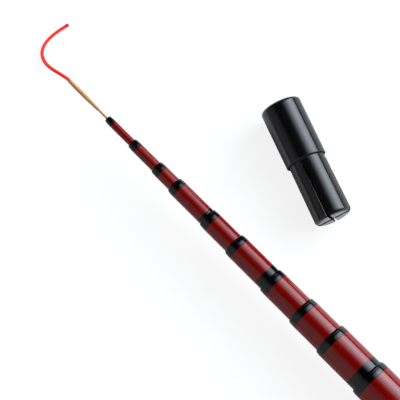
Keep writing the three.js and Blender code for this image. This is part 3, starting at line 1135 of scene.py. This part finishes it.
def build_cap(look):
    low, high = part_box("butt_cap")
    head, chamfer, groove_width, groove = 6.5 * MM, 1 * MM, 1.4 * MM, 0.6 * MM
    radius, edge, ring_depth = high.z, 0.2 * MM, 0.12 * MM
    ring_start, ring_middle, ring_end = [radius * share for share in CAP_RING]
    pad_gap, spigot_wall, seat_width, end_chamfer = 0.3 * MM, 0.9 * MM, 2.35 * MM, 0.6 * MM
    pad_low, pad_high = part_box("damping_pad")
    recess = pad_high.z + pad_gap
    recess_foot = pad_low.x - FIT
    spigot = recess + spigot_wall
    seal_seat = flat_bore("cap_seal_ring")
    seat_front = head + seat_width
    groove_rear = (head - groove_width) / 2
    groove_middle = groove_rear + groove_width / 2
    knurl_rear, knurl_front = groove_rear + groove_width + edge, head - chamfer / 2 - edge
    ridges = thread_outline(
        seat_front + edge, high.x - end_chamfer - edge, spigot, look.thread_depth,
        look.thread_pitch)
    outline = [
        (0.0, 0.0), (0.0, ring_start), (ring_depth, ring_middle), (0.0, ring_end),
        (low.x, radius - chamfer - edge), (edge / 3, radius - chamfer),
        (chamfer, radius - edge / 3), (chamfer + edge, radius), (groove_rear, radius),
        *arc(groove_middle, radius, groove_width / 2, groove, steps=5),
        *arc(groove_middle, radius, -groove_width / 2, groove, steps=5)[1:],
        (knurl_rear, radius), (knurl_rear + edge, radius), (knurl_front - edge, radius),
        (knurl_front, radius), (head - chamfer / 2, radius), (head, radius - chamfer / 2),
        (head, seal_seat), (seat_front, seal_seat), (seat_front, spigot - look.thread_depth),
        *ridges, (high.x, spigot - end_chamfer), (high.x, recess), (recess_foot, recess),
        (recess_foot, 0.0)]
    teeth = round(FULL_TURN * radius / look.tooth)
    per_tooth = 4
    bm = spun(outline, teeth * per_tooth)
    for vert in bm.verts:
        inside = knurl_rear + edge / 2 < vert.co.x < knurl_front - edge / 2
        turn = math.atan2(vert.co.z, vert.co.y) / FULL_TURN
        valley = round(turn * teeth * per_tooth) % per_tooth in (0, per_tooth - 1)
        if inside and valley and radius_of(vert.co) > radius - edge:
            press(vert, look.tooth_depth)
    finished(
        bm, "knurled_butt_cap", "cap", ["butt_cap"], [black_anodised(look)])


def build_seal_and_pad(look):
    material = rubber(look)
    low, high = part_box("cap_seal_ring")
    thick = (high.x - low.x) / 2
    sides = 16
    circle = []
    for step in range(sides):
        turn = FULL_TURN * step / sides
        circle.append((
            low.x + thick - thick * math.cos(turn), high.z - thick + thick * math.sin(turn)))
    finished(
        spun(circle, RUBBER_SIDES, closed=True), "rubber_seal", "cap",
        ["cap_seal_ring"], [material])
    low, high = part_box("damping_pad")
    edge, ring_depth = 0.6 * MM, 0.3 * MM
    rim, foot, inner_foot, inner_rim = [high.z * share for share in PAD_RING]
    outline = [
        (low.x, 0.0), (low.x, high.z - edge / 2), (low.x + edge / 2, high.z),
        *arc(high.x, high.z, edge, edge, steps=5), (high.x, rim), (high.x - ring_depth, foot),
        (high.x - ring_depth, inner_foot), (high.x, inner_rim), (high.x, 0.0)]
    finished(
        spun(outline, RUBBER_SIDES), "rubber_pad", "pad", ["damping_pad"],
        [material])


# The plug

PLUG_PLACE = Vector((496.5, -52.95, 9.85 - 13.5)) * MM
PLUG_HEADING = math.radians(160)
SLIT_ROLL = math.radians(18.2)


def slit_blade(look, width, roll, offset):
    """A blade that cuts one slit through the shank."""
    bm = bmesh.new()
    length = look.shank_length
    bmesh.ops.create_cube(bm, size=1.0)
    bmesh.ops.scale(bm, vec=(length, width, 3 * look.head_radius), verts=bm.verts)
    bmesh.ops.translate(bm, vec=(look.slit_start + length / 2, -offset, 0), verts=bm.verts)
    bmesh.ops.rotate(bm, cent=(0, 0, 0), matrix=Matrix.Rotation(roll, 3, "X"), verts=bm.verts)
    return as_object(bm, "slit_blade")


def cut_by(blank, blades):
    """The blank with the blades' slits, as a new bmesh. The blank and the blades are removed."""
    for blade in blades:
        cut = blank.modifiers.new("cut", "BOOLEAN")
        cut.object = blade
        cut.operation = "DIFFERENCE"
        cut.solver = "EXACT"
    bpy.context.view_layer.update()
    shaped = blank.evaluated_get(bpy.context.evaluated_depsgraph_get())
    bm = bmesh.new()
    bm.from_mesh(shaped.to_mesh())
    shaped.to_mesh_clear()
    for spare in [blank, *blades]:
        bpy.data.objects.remove(spare)
    bmesh.ops.remove_doubles(bm, verts=bm.verts, dist=1e-6)
    return bm


PLUG_GROOVE = 0.15 * MM


def plug_outline(look):
    """The plug from its head's top to its shank's end, before it is slit."""
    end, groove, step_round, steps = look.shank_length, PLUG_GROOVE, 0.5 * MM, 8

    def shank(x):
        return look.root_radius + (look.end_radius - look.root_radius) * x / end

    return [
        (-look.head_length, 0.0),
        *arc(-look.head_length, look.head_radius, -look.top_round, look.top_round, steps),
        *arc(0.0, look.head_radius, step_round, step_round, steps=4),
        (0.0, look.root_radius - groove), (groove * 2, look.root_radius - groove),
        (groove * 3, shank(groove * 3)), (look.slit_start, shank(look.slit_start)),
        *arc(end, shank(end), look.end_round, look.end_round, steps),
        (end, 0.0),
    ]


def round_slits(bm, look):
    corner = math.radians(50)
    rims = [
        e for e in bm.edges
        if e.calc_face_angle(0.0) > corner
        and min(v.co.x for v in e.verts) > look.slit_start - PLUG_GROOVE]
    bmesh.ops.bevel(
        bm, geom=rims, offset=look.slit_round, offset_type="OFFSET", affect="EDGES", segments=3,
        profile=0.5, material=-1, clamp_overlap=True)


def mark_rim_highlight(bm, look):
    """Marks a thin line of painted highlight on one rim of the first slit, where the rim catches
    the light.
    """
    painted_rim_highlight = bm.verts.layers.float.new("painted_rim_highlight")
    wall = -look.slit_offset - look.slit_width / 2
    line_starts, line_ends, skin = (look.slit_round * share for share in (0.02, 0.9, 2))
    fade_start = 0.6
    for vert in bm.verts:
        across = vert.co.y * math.cos(SLIT_ROLL) + vert.co.z * math.sin(SLIT_ROLL)
        at_rim = wall - line_ends < across < wall - line_starts
        outer = radius_of(vert.co) > look.root_radius - skin
        if at_rim and outer and vert.co.x > look.slit_start + look.slit_width:
            vert[painted_rim_highlight] = min(1.0, max(0.0, vert.co.x / look.rim_highlight_start - fade_start))


# Places of the materials on the plug, after its moulded skin.
SAWN, PAINTED_REFLECTION_END = 1, 2


def paint_cuts(bm, look):
    """Gives the slits' walls and feet and the shank's end their own materials."""
    flat, nearly_flat, upright = 0.999, 0.9, 0.5
    for face in bm.faces:
        centre = face.calc_center_median()
        facing = face.normal.x
        inside = radius_of(centre) < look.root_radius - look.slit_width / 2
        foot = centre.x < look.slit_start + PLUG_GROOVE and facing > nearly_flat
        if foot or centre.x > look.slit_start and inside and abs(facing) < upright:
            face.material_index = SAWN
        elif centre.x > look.shank_length - PLUG_GROOVE and facing > flat:
            face.material_index = PAINTED_REFLECTION_END


def build_plug(look):
    bm = cut_by(as_object(spun(plug_outline(look), PLUG_SIDES), "plug_blank"), [
        slit_blade(look, look.slit_width, SLIT_ROLL, look.slit_offset),
        slit_blade(look, look.cross_width, SLIT_ROLL + math.pi / 2, 0.0)])
    round_slits(bm, look)
    mark_rim_highlight(bm, look)
    paint_cuts(bm, look)
    place = Matrix.Translation(PLUG_PLACE) @ Matrix.Rotation(PLUG_HEADING, 4, "Z")
    bmesh.ops.transform(bm, matrix=place, verts=bm.verts)
    finished(
        bm, "slit_mouth_plug", "plug", ["mouth_plug"],
        [moulded_black(look),
         cut_plastic("sawn_black", look.cut, roughness=(0.6, 0.8), specular=0.08),
         # Painted reflection: the ground end face is pale grey for the white floor it mirrors.
         cut_plastic("ground_end_painted_reflection", look.ground, roughness=(0.45, 0.6), specular=0.5)],
        planar=(SAWN, PAINTED_REFLECTION_END))


# Camera, floor and light

CAMERA_PLACE = Vector((312.4, 194.2, 959.8)) * MM
CAMERA_AZIMUTH = math.radians(225.95)
CAMERA_ELEVATION = math.radians(73.5)


def build_camera(look):
    right = Vector((math.cos(CAMERA_AZIMUTH), math.sin(CAMERA_AZIMUTH), 0))
    level = Vector((-math.sin(CAMERA_AZIMUTH), math.cos(CAMERA_AZIMUTH), 0))
    view = level * math.cos(CAMERA_ELEVATION) - Vector((0, 0, math.sin(CAMERA_ELEVATION)))
    up = right.cross(view)
    data = bpy.data.cameras.new("camera")
    data.lens = look.lens
    data.sensor_width = 36
    data.clip_start = 0.01
    camera = in_scene("camera", data)
    turn = Matrix((right, up, -view)).transposed().to_4x4()
    camera.matrix_world = Matrix.Translation(CAMERA_PLACE) @ turn
    bpy.context.scene.camera = camera


# Reach of the floor to each side, and the width over which it fades to the rod's dark side.
FLOOR_REACH = 40
FLOOR_FADE = 0.06


def floor_material(look):
    """White where it is seen, with a faint shadow, and darker behind the rod where it is not."""
    material = bpy.data.materials.new("pale_floor")
    material.use_nodes = True
    tree = material.node_tree
    tree.nodes.clear()
    rays = node("LightPath", {}, tree).outputs
    seen = maths("MAXIMUM", rays["Is Camera Ray"], rays["Is Transmission Ray"])
    in_gloss = times(rays["Is Glossy Ray"], look.gloss_glow)
    place = node("TexCoord", {}, tree).outputs["Object"]
    own = ramp(axes(place)["Y"], 0.0, FLOOR_FADE, look.floor, look.far_floor)
    share = blended(seen, own, rgba((look.shadow,) * 3))
    paint = shader("BsdfDiffuse", {"Color": share})
    glow = shader("Emission", {"Strength": maths("MULTIPLY_ADD", seen, look.glow, in_gloss)})
    node("OutputMaterial", {"Surface": shader("AddShader", {0: paint, 1: glow})})
    return material


def build_floor(look):
    bm = bmesh.new()
    bmesh.ops.create_grid(bm, x_segments=2, y_segments=2, size=FLOOR_REACH)
    bmesh.ops.translate(bm, vec=(0, 0, cad_box[0][2]), verts=bm.verts)
    floor = as_object(bm, "floor")
    floor.data.materials.append(floor_material(look))


WHITE = (1, 1, 1, 1)

# Brightness of the studio by the sine of the angle to each side: the soft light, the other side.
KEY_STOPS = [(0, 0), (0.2, 0.025), (0.4, 0.27), (0.55, 0.47), (0.7, 0.8), (0.83, 1), (0.97, 0.66)]
FILL_STOPS = [(0.3, 0), (0.45, 0.03), (0.565, 0.38), (0.65, 0.66), (0.8, 0.86), (0.92, 1)]

# Where the soft light fades: at its foot by the height, towards tip and butt by the X of the way.
SOFT_FOOT = (0.2, 0.25)
SOFT_TIP_END = (0.09, 0.28)
SOFT_BUTT_END = (-0.85, -0.6)


def graded(value, stops):
    """A value that runs straight from stop to stop, as (place, value)."""
    made = node("ValToRGB", {"Fac": value})
    elements = made.color_ramp.elements
    while len(elements) < len(stops):
        elements.new(1)
    for element, (place, level) in zip(elements, stops):
        element.position = place
        element.color = rgba((level,) * 3)
    return made.outputs["Color"]


def build_world(look):
    """A dark studio with a tall soft light along the rod's -Y side, white behind for the camera."""
    world = bpy.data.worlds.new("studio")
    bpy.context.scene.world = world
    world.use_nodes = True
    tree = world.node_tree
    tree.nodes.clear()
    split = axes(node("TexCoord", {}, tree).outputs["Generated"])
    rise = graded(times(split["Y"], -1.0), KEY_STOPS)
    foot = ramp(split["Z"], *SOFT_FOOT)
    tip_end = ramp(split["X"], *SOFT_TIP_END, 1.0, 0.0, smooth=False)
    butt_end = ramp(split["X"], *SOFT_BUTT_END)
    soft_box = times(times(rise, foot), times(tip_end, butt_end))
    key = shader("Background", {
        "Color": rgba(look.key_colour), "Strength": times(soft_box, look.key)})
    fill = shader("Background", {
        "Color": WHITE, "Strength": times(graded(split["Y"], FILL_STOPS), look.fill)})
    studio = shader("AddShader", {0: key, 1: fill})
    behind = shader("Background", {"Color": WHITE, "Strength": 1.0}, tree)
    rays = node("LightPath", {}, tree).outputs
    direct = maths("MAXIMUM", rays["Is Camera Ray"], rays["Is Transmission Ray"])
    node("OutputWorld", {"Surface": shader("MixShader", {0: direct, 1: studio, 2: behind})})


# Size of the lamps, and where they stand, seen from the place on the rod that they shine at.
LAMP_SIZE = (2.4, 1.4)
LAMP_TARGET = Vector((0.45, 0, 0))
SOFT_LAMP_AWAY = Vector((-0.3, -2.6, 1.05))
LOW_LAMP_AWAY = Vector((-0.3, 2.4, 0.5))


def build_lamp(name, power, away):
    """A wide lamp that shades the rod and shows in no reflection."""
    data = bpy.data.lights.new(name, "AREA")
    data.shape = "RECTANGLE"
    data.size, data.size_y = LAMP_SIZE
    data.energy = power
    lamp = in_scene(name, data)
    lamp.location = LAMP_TARGET + away
    lamp.rotation_euler = (-away).to_track_quat("-Z", "Y").to_euler()
    lamp.visible_glossy = False


# Operators

class ROD_OT_camera(Operator):
    """Places the camera above the rod"""
    bl_idname = "rod.camera"
    bl_label = "Camera"

    def execute(self, context):
        build_camera(context.scene.rod_stage)
        return {"FINISHED"}


class ROD_OT_lilian(Operator):
    """Knits the lilian and its sealed knot"""
    bl_idname = "rod.lilian"
    bl_label = "Lilian"

    def execute(self, context):
        build_lilian(context.scene.rod_lilian)
        return {"FINISHED"}


class ROD_OT_tubes(Operator):
    """Builds the ten lacquered tubes"""
    bl_idname = "rod.tubes"
    bl_label = "Tubes"

    def execute(self, context):
        look = context.scene.rod_tubes
        bare = laminate("bare_laminate", look.laminate)
        materials = [lacquer("black_lacquer", look.black), bare, bare]
        for name in SECTIONS:
            tube(name, look, materials)
        return {"FINISHED"}


class ROD_OT_wraps(Operator):
    """Builds the ten red wraps"""
    bl_idname = "rod.wraps"
    bl_label = "Red wraps"

    def execute(self, context):
        look = context.scene.rod_tubes
        materials = [lacquer("red_lacquer", look.red)]
        for name in SECTIONS:
            wrap(name, look, materials)
        return {"FINISHED"}


class ROD_OT_tip(Operator):
    """Builds the solid tip section and the lilian's sleeve"""
    bl_idname = "rod.tip"
    bl_label = "Tip"

    def execute(self, context):
        build_tip(context.scene.rod_tip, context.scene.rod_lilian)
        return {"FINISHED"}


class ROD_OT_grip(Operator):
    """Builds the cork grip, its end rings and the winding check"""
    bl_idname = "rod.grip"
    bl_label = "Grip"

    def execute(self, context):
        scene = context.scene
        build_cork(scene.rod_grip, scene.rod_tubes)
        build_rings(scene.rod_grip, scene.rod_tubes)
        build_check(scene.rod_cap, scene.rod_tubes)
        return {"FINISHED"}


class ROD_OT_butt(Operator):
    """Builds the insert, the butt cap, its seal and the damping pad"""
    bl_idname = "rod.butt"
    bl_label = "Butt"

    def execute(self, context):
        look = context.scene.rod_cap
        build_insert(look)
        build_cap(look)
        build_seal_and_pad(look)
        return {"FINISHED"}


class ROD_OT_plug(Operator):
    """Builds the slit plug for the rod's mouth"""
    bl_idname = "rod.plug"
    bl_label = "Mouth plug"

    def execute(self, context):
        build_plug(context.scene.rod_plug)
        return {"FINISHED"}


class ROD_OT_stage(Operator):
    """Builds the floor, the studio and its two lamps"""
    bl_idname = "rod.stage"
    bl_label = "Stage"

    def execute(self, context):
        look = context.scene.rod_stage
        build_floor(look)
        build_world(look)
        build_lamp("soft_lamp", look.lamp, SOFT_LAMP_AWAY)
        build_lamp("low_lamp", look.low_lamp, LOW_LAMP_AWAY)
        return {"FINISHED"}


OPERATORS = [
    ROD_OT_camera, ROD_OT_lilian, ROD_OT_tubes, ROD_OT_wraps, ROD_OT_tip, ROD_OT_grip,
    ROD_OT_butt, ROD_OT_plug, ROD_OT_stage,
]


class ROD_PT_build(Panel):
    """Lists the rod's pieces and their sizes"""
    bl_idname = "ROD_PT_build"
    bl_label = "Tenkara Rod"
    bl_space_type = "VIEW_3D"
    bl_region_type = "UI"
    bl_category = "Tenkara Rod"

    def draw(self, context):
        for kind in OPERATORS:
            self.layout.operator(kind.bl_idname)
        for name, kind in LOOKS.items():
            box = self.layout.box()
            for prop in kind.__annotations__:
                box.prop(getattr(context.scene, name), prop)


CLASSES = [*LOOKS.values(), *OPERATORS, ROD_PT_build]


def register():
    for kind in CLASSES:
        bpy.utils.register_class(kind)
    for name, kind in LOOKS.items():
        setattr(bpy.types.Scene, name, PointerProperty(type=kind))


def unregister():
    for name in LOOKS:
        delattr(bpy.types.Scene, name)
    for kind in reversed(CLASSES):
        bpy.utils.unregister_class(kind)


def main():
    register()
    bpy.context.scene.view_settings.view_transform = "Standard"
    for kind in OPERATORS:
        family, name = kind.bl_idname.split(".")
        getattr(getattr(bpy.ops, family), name)()


if __name__ == "__main__":
    main()
